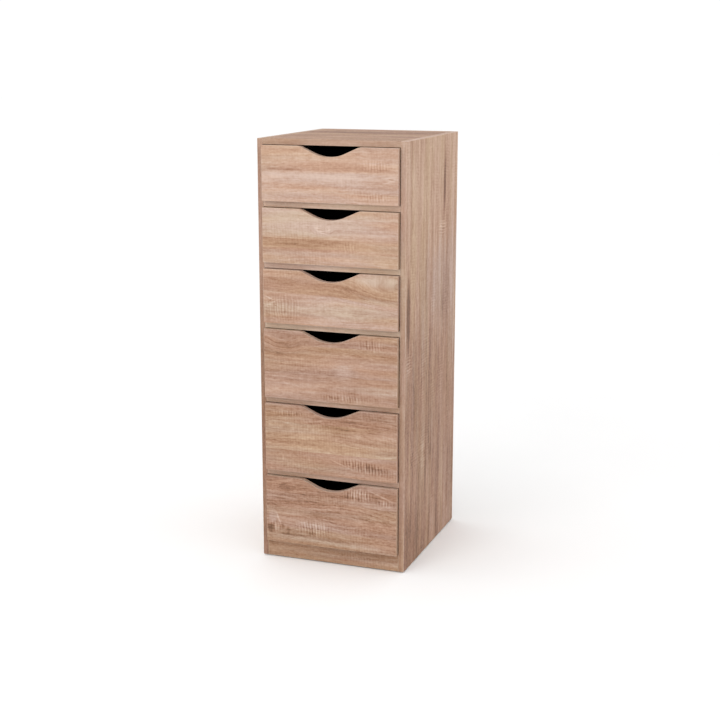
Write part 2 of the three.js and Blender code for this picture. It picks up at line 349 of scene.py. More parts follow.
# Widths of the painted highlight on arrises, and of the soft edge of a band.
RIM_WIDTH = 1.4 * MM
SIDE_RIM_WIDTH = 2.2 * MM
BAND_EDGE = 1.5 * MM
# The decor's input that each kind of mark feeds.
MARK_INPUTS = {
    "shade": "Shade", "band": "Shade", "saw": "Saw patch", "swirl": "Swirl", "rich": "Rich",
}


def ellipse(g, grain, centre, radii, tilt, half):
    """A soft mask, 1 in the middle of an ellipse in grain coordinates.

    A half keeps only what lies below the ellipse's long axis and ends sharply there.
    """
    node = g.add("ShaderNodeMapping", {"Vector": grain}, vector_type="TEXTURE")
    node.inputs["Location"].default_value = (centre[0], centre[1], 0.0)
    node.inputs["Rotation"].default_value = (0.0, 0.0, tilt)
    node.inputs["Scale"].default_value = (radii[0], radii[1], 1.0)
    ball = g.add("ShaderNodeTexGradient", {"Vector": node.outputs[0]}, gradient_type="SPHERICAL")
    mask = g.ramp_range(ball.outputs["Fac"], 0.0, 0.75)
    if half:
        below = g.ramp_range(g.split(node.outputs[0])[1], 0.0, BAND_EDGE / radii[1], 1.0, 0.0)
        mask = g.math("MULTIPLY", mask, below)
    return mask


def oak(name, box, shift, tone=0.40, contrast=1.0, figure=0.35, saw=0.5, warmth=0.0, breadth=1.0,
        marks=(), rim=RIM_WIDTH):
    """One board's own piece of the decor.

    shift is its place on the decor, tone its darkness and breadth the strength of its broad
    streaks. figure shows the growth rings, saw the saw marks that fall by chance, and rim is the
    width of the painted highlight on the board's arrises.

    marks are (kind, centre, radii, strength, tilt) in grain coordinates. shade darkens, or lightens
    when negative. band darkens the half below its centre line and ends sharply there; a tilt of pi
    turns it over. saw adds saw marks, swirl bends the grain, and rich makes the brown redder, or
    greyer when negative.
    """
    material, g, shader = new_material(name, 0.55, specular=0.25)
    uv = g.add("ShaderNodeUVMap", uv_map="grain").outputs[0]
    edge = g.add("ShaderNodeGroup", node_tree=RIM)
    edge.inputs["Low"].default_value = box[0]
    edge.inputs["High"].default_value = box[1]
    edge.inputs["Width"].default_value = rim
    decor = g.add("ShaderNodeGroup", node_tree=OAK)
    decor.inputs["Shift"].default_value = shift
    for label, value in (("Tone", tone), ("Contrast", contrast), ("Figure", figure), ("Saw", saw),
                         ("Warmth", warmth), ("Breadth", breadth)):
        decor.inputs[label].default_value = value
    g.links.new(uv, decor.inputs["Grain"])
    g.links.new(edge.outputs[0], decor.inputs["Rim"])
    sums = {"Shade": [], "Saw patch": [], "Swirl": [], "Rich": []}
    for kind, centre, radii, strength, tilt in marks:
        mask = ellipse(g, uv, centre, radii, tilt, half=kind == "band")
        sums[MARK_INPUTS[kind]].append(g.math("MULTIPLY", mask, strength))
    for label, masks in sums.items():
        if masks:
            g.links.new(g.sum(*masks), decor.inputs[label])
    g.links.new(decor.outputs["Color"], shader.inputs["Base Color"])
    g.links.new(decor.outputs["Roughness"], shader.inputs["Roughness"])
    bump(g, shader, decor.outputs["Height"], 0.12 * MM)
    return material


# ======================================================================================
# Other materials
# ======================================================================================
def stretched_place(g, x, y, z):
    """The place on the object, with so many features to the metre along X, Y and Z."""
    return g.vector("MULTIPLY", g.add("ShaderNodeTexCoord").outputs["Object"], (x, y, z))


def object_place(g, scale):
    """The place on the object, with so many features to the metre."""
    return stretched_place(g, scale, scale, scale)


def chipboard():
    """The raw particle board that shows on cut edges and in grooves."""
    material, g, shader = new_material("chipboard_core", 0.9, specular=0.2)
    chips = g.add("ShaderNodeTexVoronoi", {"Vector": object_place(g, 620.0)}, feature="F1")
    grit = g.noise(object_place(g, 1500.0), 3.0, 0.7)
    cloud = g.noise(object_place(g, 60.0), 2.0)
    tone = g.sum(
        g.math("MULTIPLY", g.split(chips.outputs["Color"])[0], 0.55),
        g.centred(grit, 0.7), g.centred(cloud, 0.4), 0.22,
    )
    colour = g.colours(tone, [
        (0.0, srgb(92, 70, 49)), (0.5, srgb(154, 125, 93)), (1.0, srgb(200, 174, 137)),
    ])
    g.links.new(colour, shader.inputs["Base Color"])
    bump(g, shader, g.sum(chips.outputs["Distance"], grit), 0.25 * MM)
    return material


def hardboard(name, light, dark):
    """Thin pressed fibre board: felted fibres, faint cloudy patches, fine dust."""
    material, g, shader = new_material(name, 0.8, specular=0.25)
    fibre = g.noise(object_place(g, 900.0), 4.0, 0.75)
    felt = g.noise(object_place(g, 210.0), 3.0, 0.6)
    cloud = g.noise(object_place(g, 9.0), 3.0, 0.6)
    speck = g.ramp_range(g.noise(object_place(g, 420.0), 1.0), 0.68, 0.78)
    tone = g.sum(0.5, g.centred(fibre, 0.9), g.centred(felt, 0.7), g.centred(cloud, 0.7))
    colour = g.colours(tone, [(0.15, dark), (0.85, light)])
    speckled = g.mix(g.math("MULTIPLY", speck, 0.35), colour, dark)
    g.links.new(speckled, shader.inputs["Base Color"])
    g.links.new(g.sum(0.74, g.centred(felt, 0.3)), shader.inputs["Roughness"])
    bump(g, shader, g.sum(fibre, felt), 0.10 * MM)
    return material


def foil():
    """Graphite wrapping foil: near-black, finely pebbled, a little scuffed on its high spots."""
    material, g, shader = new_material("graphite_foil", 0.55, specular=0.35)
    pebble = g.add("ShaderNodeTexVoronoi", {"Vector": object_place(g, 900.0)}, feature="F1")
    cloud = g.noise(object_place(g, 14.0), 3.0, 0.6)
    brushed = g.noise(stretched_place(g, 260.0, 8.0, 260.0), 3.0, 0.6)
    scuff = g.math("MULTIPLY", g.ramp_range(brushed, 0.62, 0.80), g.ramp_range(cloud, 0.45, 0.65))
    tone = g.sum(0.4, g.centred(cloud, 0.6), g.centred(brushed, 0.5))
    colour = g.colours(tone, [(0.0, srgb(26, 25, 25)), (1.0, srgb(43, 41, 40))])
    scuffed = g.mix(g.math("MULTIPLY", scuff, 0.4), colour, srgb(78, 75, 72))
    g.links.new(scuffed, shader.inputs["Base Color"])
    sheen = g.sum(0.55, g.centred(cloud, 0.25), g.math("MULTIPLY", scuff, -0.12))
    g.links.new(sheen, shader.inputs["Roughness"])
    bump(g, shader, pebble.outputs["Distance"], 0.05 * MM)
    return material


def plastic(name, colour, rubbed):
    """Moulded plastic with a fine grain and long rub marks along the pull direction."""
    material, g, shader = new_material(name, 0.42, specular=0.45)
    grain = g.noise(object_place(g, 1600.0), 2.0, 0.6)
    rub = g.noise(stretched_place(g, 700.0, 6.0, 700.0), 3.0, 0.6)
    mark = g.ramp_range(rub, 0.56, 0.74)
    tone = g.mix(g.math("MULTIPLY", mark, 0.6), colour, rubbed)
    dust = g.ramp_range(g.noise(object_place(g, 45.0), 3.0), 0.5, 0.8, 0.0, 0.25)
    g.links.new(g.mix(dust, tone, rubbed), shader.inputs["Base Color"])
    sheen = g.sum(0.46, g.centred(grain, 0.2), g.math("MULTIPLY", mark, -0.14))
    g.links.new(sheen, shader.inputs["Roughness"])
    bump(g, shader, grain, 0.04 * MM)
    return material


def zinc():
    """Zinc plating of screws and cams: brushed by handling, a little yellow in places."""
    material, g, shader = new_material("zinc_plating", 0.35, metallic=1.0)
    grain = g.noise(object_place(g, 900.0), 3.0, 0.6)
    bloom = g.noise(object_place(g, 140.0), 2.0)
    colour = g.colours(g.sum(0.5, g.centred(grain, 0.8), g.centred(bloom, 0.9)), [
        (0.1, srgb(146, 142, 132)), (0.9, srgb(208, 206, 200)),
    ])
    g.links.new(colour, shader.inputs["Base Color"])
    g.links.new(g.sum(0.36, g.centred(grain, 0.3)), shader.inputs["Roughness"])
    bump(g, shader, grain, 0.02 * MM)
    return material


def studio_floor():
    """The near-white floor of the studio, faintly clouded."""
    material, g, shader = new_material("studio_floor", 0.85, specular=0.1)
    cloud = g.noise(object_place(g, 1.3), 2.0)
    colour = g.colours(cloud, [(0.3, srgb(250, 250, 250)), (0.7, srgb(253, 253, 253))])
    g.links.new(colour, shader.inputs["Base Color"])
    g.links.new(g.sum(0.85, g.centred(cloud, 0.1)), shader.inputs["Roughness"])
    return material


CORE = chipboard()
FOIL = foil()
BACK_BOARD = hardboard("raw_hardboard", srgb(150, 116, 82), srgb(104, 76, 50))
DARK_BOARD = hardboard("dark_hardboard", srgb(48, 45, 42), srgb(24, 23, 22))
RUNNER_PLASTIC = plastic("runner_plastic", srgb(27, 27, 29), srgb(58, 58, 60))
GLIDE_PLASTIC = plastic("glide_plastic", srgb(74, 56, 44), srgb(108, 88, 72))
ZINC = zinc()


# ======================================================================================
# Mesh helpers
# ======================================================================================
# Corners this close are one corner.
SAME_PLACE = 1e-6
# How far across the decor the edges of a board lie from its wide faces: the least distance, the
# step from one axis to the next, and the step to the edges on the low side.
EDGE_APART = 0.61
EDGE_STEP = 0.23
LOW_EDGE_APART = 1.37
# A face this far inside the outline is a groove's.
GROOVE_DEPTH = 1.0 * MM
# The finger cut lies within this distance of the front's middle and higher than this above its
# lower edge. Its arrises are rounded.
FINGER_CUT_REACH = 84 * MM
FINGER_CUT_ABOVE = 60 * MM
FINGER_CUT_ROUNDING = 1.2 * MM


def add_piece(name, bm, materials, body, slot, *nodes):
    """A mesh object from bm that rides on body and stands for the given CAD nodes."""
    mesh = bpy.data.meshes.new(name)
    bm.to_mesh(mesh)
    bm.free()
    for material in materials:
        mesh.materials.append(material)
    obj = bpy.data.objects.new(name, mesh)
    bpy.context.scene.collection.objects.link(obj)
    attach(obj, body)
    if nodes:
        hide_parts(*nodes)
    return obj


def soften(obj):
    """Shades the narrow chamfers as round arrises and keeps the wide faces flat."""
    for polygon in obj.data.polygons:
        polygon.use_smooth = True
    modifier = obj.modifiers.new("arris_shading", "WEIGHTED_NORMAL")
    modifier.weight = 100
    modifier.mode = "FACE_AREA"


def from_node(node):
    """The CAD solid's own shape, with its flat faces whole again."""
    bm = bmesh.new()
    bm.from_mesh(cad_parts[node].data)
    bmesh.ops.remove_doubles(bm, verts=bm.verts, dist=SAME_PLACE)
    bmesh.ops.dissolve_limit(bm, angle_limit=math.radians(1.0), verts=bm.verts, edges=bm.edges)
    bm.normal_update()
    return bm


def grain_map(bm, grain_axis, box, banded):
    """Writes the grain UV map in metres: u along the grain and v across it.

    u and v start at the board's low corner. The edges of the board are set apart on the decor.
    banded faces have their own material, so they need not be.
    """
    layer = bm.loops.layers.uv.new("grain")
    size = box[1] - box[0]
    others = [axis for axis in range(3) if axis != grain_axis]
    long_other = max(others, key=lambda axis: size[axis])
    for face in bm.faces:
        normal = face.normal
        axis = max(range(3), key=lambda i: abs(normal[i]))
        along = grain_axis if axis != grain_axis else long_other
        across = 3 - axis - along
        set_apart = 0.0
        if size[axis] != min(size) and face not in banded:
            set_apart = EDGE_APART + EDGE_STEP * axis
            if normal[axis] < 0:
                set_apart += LOW_EDGE_APART
        for loop in face.loops:
            place = loop.vert.co - box[0]
            loop[layer].uv = (place[along], place[across] + set_apart)


def is_groove(face, box):
    """True for faces that lie inside the board's outline."""
    place = face.calc_center_median()
    axis = max(range(3), key=lambda i: abs(face.normal[i]))
    inside = min(place[axis] - box[0][axis], box[1][axis] - place[axis])
    return inside > GROOVE_DEPTH


def board(node, body, slot, face_material, grain_axis, raw=(), groove_material=None, bands=(),
          finish=None):
    """A board from its CAD node.

    raw are (axis, sign) of the outer faces that show bare chipboard. bands are (test of a face,
    material) pairs for edge bands that differ from the board's wide faces. finish shapes the mesh
    further.
    """
    box = [Vector(corner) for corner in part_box(node)]
    bm = from_node(node)
    if finish:
        finish(bm, box)
    banded = {face for face in bm.faces for choose, _ in bands if choose(face, box)}
    grain_map(bm, grain_axis, box, banded)
    for face in bm.faces:
        axis = max(range(3), key=lambda i: abs(face.normal[i]))
        sign = 1 if face.normal[axis] > 0 else -1
        bare = (axis, sign) in raw and abs(face.normal[axis]) > 0.95
        if bare or (groove_material and is_groove(face, box)):
            face.material_index = 1
        for index, (choose, _) in enumerate(bands):
            if choose(face, box):
                face.material_index = 2 + index
    materials = [face_material, groove_material or CORE] + [material for _, material in bands]
    soften(add_piece(f"{node}_board", bm, materials, body, slot, node))


def is_front_edge(face, box):
    """True for a carcass board's face to the front."""
    return face.normal[1] < -0.9


def is_end(face, box):
    """True for the left and right ends of a drawer front."""
    return abs(face.normal[0]) > 0.9 and not is_groove(face, box)


def is_top_edge(face, box):
    """True for the straight parts of a drawer front's upper edge."""
    return face.normal[2] > 0.9 and face.calc_center_median()[2] > box[1][2] - 0.4 * MM


def is_finger_cut(face, box):
    """True for the curved edge of the cut-out in a drawer front."""
    place = face.calc_center_median()
    low, high = box[0][2] + FINGER_CUT_ABOVE, box[1][2] - 0.8 * MM
    in_reach = abs(place[0]) < FINGER_CUT_REACH and low < place[2] < high
    return in_reach and abs(face.normal[1]) < 0.97


def round_finger_cut(bm, box):
    """Rounds the two arrises of the cut-out, as trimming its edge band leaves them."""
    arrises = []
    for edge in bm.edges:
        cuts = [is_finger_cut(face, box) for face in edge.link_faces]
        wide = [abs(face.normal[1]) > 0.99 for face in edge.link_faces]
        if len(cuts) == 2 and any(cuts) and any(wide):
            arrises.append(edge)
    bmesh.ops.bevel(bm, geom=arrises, offset=FINGER_CUT_ROUNDING, segments=2, profile=0.5,
                    affect="EDGES")
    bm.normal_update()


# ======================================================================================
# Carcass
# ======================================================================================
WOOD_SLOT = "oak_decor_board"
FOIL_SLOT = "graphite_foil_board"
# Outer faces that show bare chipboard, as (axis, sign).
REAR = (1, 1)
UNDER = (2, -1)


def oak_board(node, body, grain_axis, shift, raw=(), bands=(), finish=None, **looks):
    """A board in its own piece of the decor.

    bands are (test of a face, looks of that edge) pairs. Their grain comes from another layer.
    """
    box = [tuple(corner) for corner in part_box(node)]
    material = oak(f"oak_{node}", box, shift, **looks)
    edge_shift = (shift[1], shift[0], shift[2] + 5.0)
    made = []
    for choose, band in bands:
        kind = choose.__name__.removeprefix("is_")
        made.append((choose, oak(f"oak_{node}_{kind}", box, edge_shift, **band)))
    board(node, body, WOOD_SLOT, material, grain_axis, raw, CORE, made, finish)


# The rails' tones, from the top down. They are set paler than the fronts, which shade them, as
# painted light that lifts that shade.
RAIL_TONES = (0.38, 0.27, 0.30, 0.46, 0.41)
# The right side's marks: u runs up from the floor and v back from the front edge.
RIGHT_SIDE_MARKS = (
    ("shade", (0.995, 0.332), (0.125, 0.014), 0.56, 0.02),
    ("shade", (0.878, 0.312), (0.012, 0.045), -0.18, 0.0),
    ("saw", (0.870, 0.312), (0.030, 0.050), 1.0, 0.0),
    ("shade", (0.680, 0.024), (0.150, 0.021), 0.58, 0.0),
    ("rich", (0.680, 0.040), (0.200, 0.040), 0.50, 0.0),
    ("shade", (0.535, 0.030), (0.010, 0.030), -0.16, 0.0),
    ("saw", (0.550, 0.030), (0.040, 0.035), 0.8, 0.0),
    ("shade", (0.950, 0.075), (0.260, 0.028), -0.08, 0.0),
    ("shade", (0.980, 0.220), (0.200, 0.020), 0.10, 0.0),
    ("shade", (0.640, 0.150), (0.200, 0.024), -0.10, 0.0),
    ("shade", (0.580, 0.205), (0.220, 0.016), 0.12, 0.0),
    ("shade", (0.460, 0.270), (0.180, 0.022), 0.10, 0.0),
    ("shade", (0.420, 0.090), (0.240, 0.020), 0.10, 0.0),
    ("shade", (0.276, 0.156), (0.100, 0.030), -0.14, 0.0),
    ("saw", (0.290, 0.156), (0.110, 0.040), 0.5, 0.0),
    ("shade", (0.240, 0.245), (0.220, 0.024), 0.12, 0.0),
    ("shade", (0.250, 0.330), (0.240, 0.024), -0.06, 0.0),
    ("rich", (1.050, 0.150), (0.340, 0.500), 0.75, 0.0),
    ("rich", (0.760, 0.070), (0.200, 0.110), 0.30, 0.0),
    ("rich", (1.050, 0.400), (0.280, 0.120), 0.30, 0.0),
    ("rich", (0.720, 0.330), (0.160, 0.160), -0.35, 0.0),
    # painted light: the upper end of the side is lighter
    ("shade", (1.080, 0.150), (0.260, 0.500), -0.10, 0.0),
    # painted shade: darker at the lower front corner
    ("shade", (0.060, 0.040), (0.160, 0.140), 0.14, 0.0),
    ("shade", (0.500, 0.080), (0.210, 0.110), 0.10, 0.0),
    ("shade", (0.060, 0.370), (0.180, 0.120), -0.08, 0.0),
    ("rich", (0.940, 0.437), (0.120, 0.016), 0.70, 0.0),
    # painted shade: the lower part of the side is darker
    ("shade", (0.230, 0.150), (0.650, 0.900), 0.22, 0.0),
)


def make_carcass():
    """The fixed boards, the back and the glides."""
    edge = dict(contrast=0.5, figure=0.1, saw=0.2, warmth=0.10)
    # The front edges carry painted light and shade: the right one is lighter at the top and darker
    # at the bottom, the left one darker at the bottom.
    right_edge = dict(edge, tone=0.53, warmth=0.30, marks=(
        ("shade", (1.050, 0.007), (0.500, 0.500), -0.06, 0.0),
        ("rich", (0.900, 0.007), (0.900, 0.500), -0.35, 0.0),
        ("shade", (0.100, 0.007), (0.350, 0.500), 0.06, 0.0)))
    left_edge = dict(edge, tone=0.62, marks=(
        ("rich", (0.900, 0.007), (0.900, 0.500), -0.30, 0.0),
        ("shade", (0.200, 0.007), (0.700, 0.500), 0.17, 0.0)))
    top_edge = dict(edge, tone=0.52, marks=(("rich", (0.180, 0.007), (0.900, 0.500), -0.35, 0.0),))
    oak_board("side_panel_right", "carcass", 2, (0.31, 4.10, 1.7), raw=(REAR, UNDER),
              bands=[(is_front_edge, right_edge)], tone=0.45, warmth=-0.06,
              contrast=0.84, breadth=1.25, figure=0.25, saw=0.3, rim=SIDE_RIM_WIDTH,
              marks=RIGHT_SIDE_MARKS)
    oak_board("side_panel_left", "carcass", 2, (2.90, 7.45, 5.3), raw=(REAR, UNDER),
              bands=[(is_front_edge, left_edge)], tone=0.48,
              contrast=0.90, breadth=1.4, figure=0.30, saw=0.3, rim=SIDE_RIM_WIDTH)
    # The top is set darker than the sides to offset the light that falls on it from above: painted
    # shade.
    oak_board("top_panel", "carcass", 0, (1.72, 2.93, 8.9), raw=(REAR,),
              bands=[(is_front_edge, top_edge)], tone=0.71,
              contrast=1.10, breadth=0.9, figure=0.22, saw=0.3, marks=(
                  ("rich", (0.200, 0.220), (0.800, 0.800), 0.75, 0.0),
                  ("shade", (0.325, 0.162), (0.075, 0.012), 0.32, 0.0),
                  ("rich", (0.180, 0.250), (0.300, 0.300), 0.25, 0.0),
                  ("shade", (0.150, 0.300), (0.160, 0.030), 0.06, 0.0)))
    oak_board("bottom_panel", "carcass", 0, (0.42, 9.11, 3.3), raw=(REAR,), tone=0.46)
    oak_board("plinth_front", "carcass", 0, (5.20, 1.38, 2.6), raw=(UNDER,),
              tone=0.70, warmth=0.45, contrast=0.75, figure=0.30, saw=0.3, marks=(
                  ("shade", (0.200, 0.006), (0.400, 0.024), -0.10, 0.0),))
    oak_board("plinth_rear", "carcass", 0, (6.10, 3.38, 2.2), raw=(UNDER,), tone=0.50)
    for number, tone in enumerate(RAIL_TONES, start=1):
        shift = (0.71 * number, 1.93 + 0.57 * number, 4.0 + 1.7 * number)
        oak_board(f"rail_{number}", "carcass", 0, shift, raw=(REAR,),
                  tone=tone, warmth=0.12, contrast=0.55, figure=0.1, saw=0.2)
    board("back_panel", "carcass", "hardboard", BACK_BOARD, 2)
    for row in ("front", "rear"):
        for hand, _ in SIDES:
            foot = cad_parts[f"glide_{row}_{hand}"]
            foot.data.materials.clear()
            foot.data.materials.append(GLIDE_PLASTIC)


# ======================================================================================
# Drawers
# ======================================================================================
# Each front's place on the decor, its looks and its marks, from the top down: u runs from the left
# end and v up from the lower edge. Their tones darken from the top drawer to the bottom one, partly
# as the decor's own change and partly as painted shade where the light falls off towards the floor.
FRONTS = (
    dict(
        shift=(3.10, 0.52, 1.1), tone=0.385, contrast=0.74, breadth=0.5,
        figure=0.16, warmth=-0.16, marks=(
            ("band", (0.180, 0.080), (0.280, 0.034), 0.18, math.pi),
            ("rich", (0.180, 0.095), (0.260, 0.020), 0.30, 0.0),
            ("shade", (0.060, 0.083), (0.080, 0.004), 0.16, 0.0),
            ("shade", (0.310, 0.085), (0.060, 0.006), 0.14, 0.0),
            ("saw", (0.310, 0.095), (0.050, 0.020), 0.7, 0.0),
            ("shade", (0.200, 0.068), (0.250, 0.012), -0.10, 0.0),
            ("rich", (0.200, 0.068), (0.250, 0.012), -0.35, 0.0),
            ("shade", (0.100, 0.042), (0.160, 0.014), 0.10, 0.0),
            ("rich", (0.100, 0.042), (0.160, 0.014), 0.30, 0.0),
            ("saw", (0.310, 0.018), (0.050, 0.015), 0.7, 0.0),
            ("shade", (0.320, 0.040), (0.130, 0.045), 0.12, 0.0),
            ("shade", (0.342, 0.068), (0.020, 0.003), -0.24, 0.12),
            ("shade", (0.350, 0.060), (0.016, 0.003), -0.24, -0.15),
            ("shade", (0.336, 0.055), (0.018, 0.002), -0.22, 0.20),
            ("shade", (0.348, 0.064), (0.012, 0.002), 0.22, -0.10),
        ),
    ),
    dict(
        shift=(7.77, 5.03, 2.4), tone=0.455, contrast=0.70, breadth=0.5,
        figure=0.18, warmth=-0.10, marks=(
            ("shade", (0.150, 0.100), (0.250, 0.040), -0.10, 0.0),
            ("rich", (0.150, 0.100), (0.250, 0.040), -0.40, 0.0),
            ("swirl", (0.166, 0.087), (0.035, 0.016), 0.014, 0.0),
            ("saw", (0.166, 0.087), (0.035, 0.016), 0.4, 0.0),
            ("shade", (0.151, 0.094), (0.014, 0.003), -0.24, -0.20),
            ("shade", (0.160, 0.087), (0.016, 0.002), -0.26, -0.08),
            ("shade", (0.171, 0.081), (0.018, 0.003), -0.26, -0.18),
            ("shade", (0.183, 0.091), (0.011, 0.002), -0.20, 0.22),
            ("shade", (0.158, 0.091), (0.014, 0.002), 0.22, -0.14),
            ("shade", (0.169, 0.084), (0.014, 0.002), 0.22, -0.10),
            ("band", (0.110, 0.065), (0.230, 0.040), 0.24, 0.0),
            ("rich", (0.120, 0.050), (0.240, 0.022), 0.70, 0.0),
            ("shade", (0.300, 0.048), (0.110, 0.012), 0.12, 0.0),
            ("saw", (0.239, 0.050), (0.030, 0.020), 0.7, 0.0),
            ("shade", (0.280, 0.020), (0.120, 0.015), -0.08, 0.0),
        ),
    ),
    dict(
        shift=(2.41, 3.66, 6.2), tone=0.475, contrast=0.74, breadth=0.55,
        figure=0.22, warmth=-0.06, marks=(
            ("band", (0.150, 0.0805), (0.360, 0.070), 0.18, math.pi - 0.03),
            ("rich", (0.200, 0.100), (0.300, 0.030), 0.45, 0.0),
            ("swirl", (0.410, 0.088), (0.240, 0.056), 0.034, 0.0),
            ("shade", (0.160, 0.050), (0.300, 0.035), -0.12, 0.0),
            ("shade", (0.050, 0.036), (0.140, 0.060), 0.16, 0.0),
            ("shade", (0.320, 0.122), (0.090, 0.024), -0.22, -0.04),
            ("rich", (0.320, 0.118), (0.110, 0.036), -0.50, -0.04),
            ("rich", (0.160, 0.045), (0.300, 0.035), -0.40, 0.0),
            ("saw", (0.058, 0.042), (0.070, 0.045), 0.7, 0.0),
            ("shade", (0.016, 0.066), (0.018, 0.003), -0.26, -0.45),
            ("shade", (0.028, 0.056), (0.020, 0.003), -0.24, 0.40),
            ("shade", (0.014, 0.048), (0.014, 0.002), -0.24, 0.15),
            ("shade", (0.020, 0.060), (0.012, 0.002), 0.24, 0.60),
            ("shade", (0.036, 0.046), (0.012, 0.002), 0.20, -0.40),
            ("shade", (0.012, 0.020), (0.012, 0.020), 0.14, 0.0),
        ),
    ),
    dict(
        shift=(9.26, 1.18, 3.9), tone=0.585, contrast=0.72, breadth=0.75,
        figure=0.24, warmth=-0.04, marks=(
            ("swirl", (0.056, 0.146), (0.070, 0.034), 0.013, 0.0),
            ("shade", (0.060, 0.142), (0.060, 0.016), 0.10, 0.0),
            ("shade", (0.222, 0.083), (0.030, 0.022), -0.16, 0.0),
            ("rich", (0.222, 0.083), (0.050, 0.030), -0.40, 0.0),
            ("saw", (0.298, 0.158), (0.050, 0.020), 0.9, 0.0),
            ("rich", (0.160, 0.120), (0.200, 0.030), 0.25, 0.0),
            ("saw", (0.222, 0.014), (0.090, 0.013), 1.0, 0.0),
            ("shade", (0.222, 0.014), (0.090, 0.013), 0.06, 0.0),
        ),
    ),
    dict(
        shift=(1.35, 8.21, 7.5), tone=0.60, contrast=0.78, breadth=0.8,
        figure=0.24, warmth=-0.03, marks=(
            ("saw", (0.074, 0.160), (0.080, 0.010), 0.6, 0.0),
            ("shade", (0.254, 0.100), (0.120, 0.006), 0.12, 0.0),
            ("shade", (0.080, 0.080), (0.120, 0.008), 0.10, 0.0),
            ("rich", (0.160, 0.085), (0.260, 0.035), 0.40, 0.0),
            ("saw", (0.282, 0.033), (0.100, 0.022), 1.2, -0.15),
            ("shade", (0.290, 0.033), (0.090, 0.018), 0.14, -0.15),
            ("shade", (0.214, 0.035), (0.050, 0.003), -0.20, -0.35),
            ("shade", (0.340, 0.066), (0.050, 0.004), -0.14, 0.15),
            ("shade", (0.050, 0.038), (0.004, 0.012), -0.18, 0.0),
        ),
    ),
    dict(
        shift=(4.88, 6.35, 9.7), tone=0.61, contrast=0.90, breadth=0.8,
        figure=0.22, marks=(
            ("shade", (0.040, 0.173), (0.060, 0.005), -0.16, 0.0),
            ("saw", (0.262, 0.155), (0.055, 0.022), 1.4, 0.0),
            ("shade", (0.322, 0.160), (0.050, 0.003), -0.26, -0.35),
            ("saw", (0.334, 0.140), (0.035, 0.012), 0.9, 0.0),
            ("shade", (0.018, 0.070), (0.016, 0.022), -0.16, 0.0),
            ("rich", (0.018, 0.070), (0.020, 0.026), -0.50, 0.0),
            ("shade", (0.034, 0.067), (0.004, 0.022), -0.34, 0.37),
            ("shade", (0.012, 0.036), (0.015, 0.018), 0.36, 0.0),
            ("shade", (0.027, 0.039), (0.006, 0.018), -0.22, 0.15),
            ("shade", (0.045, 0.046), (0.010, 0.012), 0.18, 0.0),
            ("shade", (0.062, 0.036), (0.009, 0.016), 0.22, 0.0),
            ("shade", (0.074, 0.024), (0.060, 0.005), 0.20, 0.0),
            ("saw", (0.024, 0.042), (0.030, 0.022), 0.7, 0.0),
            ("saw", (0.136, 0.048), (0.070, 0.028), 1.0, 0.0),
            ("shade", (0.136, 0.055), (0.060, 0.016), -0.08, 0.0),
            ("shade", (0.182, 0.012), (0.250, 0.008), -0.24, -0.01),
            ("shade", (0.300, 0.020), (0.110, 0.012), -0.14, 0.0),
            ("rich", (0.182, 0.016), (0.250, 0.012), -0.30, 0.0),
        ),
    ),
)


def make_drawer(number):
    """One drawer's front and box, and the runner strips that carry it."""
    body = f"drawer_{number}"
    edge = dict(contrast=0.7, figure=0.1, saw=0.2)
    # The ends carry a tone of their own as painted shade of the gap beside the side panels.
    bands = [(is_end, dict(edge, tone=0.50, warmth=0.1)),
             # The top edges are paler as a painted highlight of the light from above.
             (is_top_edge, dict(edge, tone=0.34)),
             (is_finger_cut, dict(edge, tone=0.26, warmth=-0.1))]
    oak_board(f"{body}_front", body, 0, bands=bands, finish=round_finger_cut, saw=0.2,
              **FRONTS[number - 1])
    for hand, _ in SIDES:
        board(f"{body}_side_{hand}", body, FOIL_SLOT, FOIL, 1, groove_material=CORE, raw=(REAR,))
    board(f"{body}_back", body, FOIL_SLOT, FOIL, 0)
    board(f"{body}_bottom", body, "dark_hardboard", DARK_BOARD, 1)
    for hand, _ in SIDES:
        board(f"{body}_runner_{hand}", "carcass", "runner_plastic", RUNNER_PLASTIC, 1,
              groove_material=RUNNER_PLASTIC)


# ======================================================================================
# Fixings
# ======================================================================================
# Shapes of the round heads: radius, height above their place, reach below it and depth of the
# cross recess.
RUNNER_SCREW = (3.5 * MM, 0.3 * MM, 1.8 * MM, 1.1 * MM)
BACK_SCREW = (3.2 * MM, 0.15 * MM, 1.5 * MM, 1.2 * MM)
BOTTOM_SCREW = (2.6 * MM, 0.6 * MM, 1.0 * MM, 0.8 * MM)
BACK_PANEL_SCREW = (3.4 * MM, 0.9 * MM, 1.0 * MM, 0.8 * MM)
DRAWER_CAM = (6.0 * MM, 0.25 * MM, 2.0 * MM, 1.6 * MM)
CARCASS_CAM = (7.5 * MM, 0.2 * MM, 2.0 * MM, 1.9 * MM)
# The arms of a recess as shares of the head's radius: reach and half breadth.
CROSS_REACH = 0.56
CROSS_HALF_BREADTH = 0.15

# Distance of a runner's end screws from its ends, and how deep its screws sit in their holes.
RUNNER_SCREW_SETBACK = 35 * MM
RUNNER_SCREW_SINK = 0.9 * MM
# The foot of a drawer side holds the groove of the bottom, and the lower fittings stay above it.
DRAWER_FOOT = 24 * MM
# Distance of a drawer's cams from its front.
DRAWER_CAM_SETBACK = 26 * MM
# Distances of the carcass cams from the side panels, the board's front edge and its rear edge.
CARCASS_CAM_INSET = 34 * MM
CARCASS_CAM_FRONT = 40 * MM
CARCASS_CAM_REAR = 60 * MM
# A board deeper than this has cams at its rear too.
DEEP_BOARD = 0.2


def cross_points(arm, width):
    """The twelve corners of a plus sign."""
    return [
        (arm, -width), (arm, width), (width, width), (width, arm),
        (-width, arm), (-width, width), (-arm, width), (-arm, -width),
        (-width, -width), (-width, -arm), (width, -arm), (width, -width),
    ]


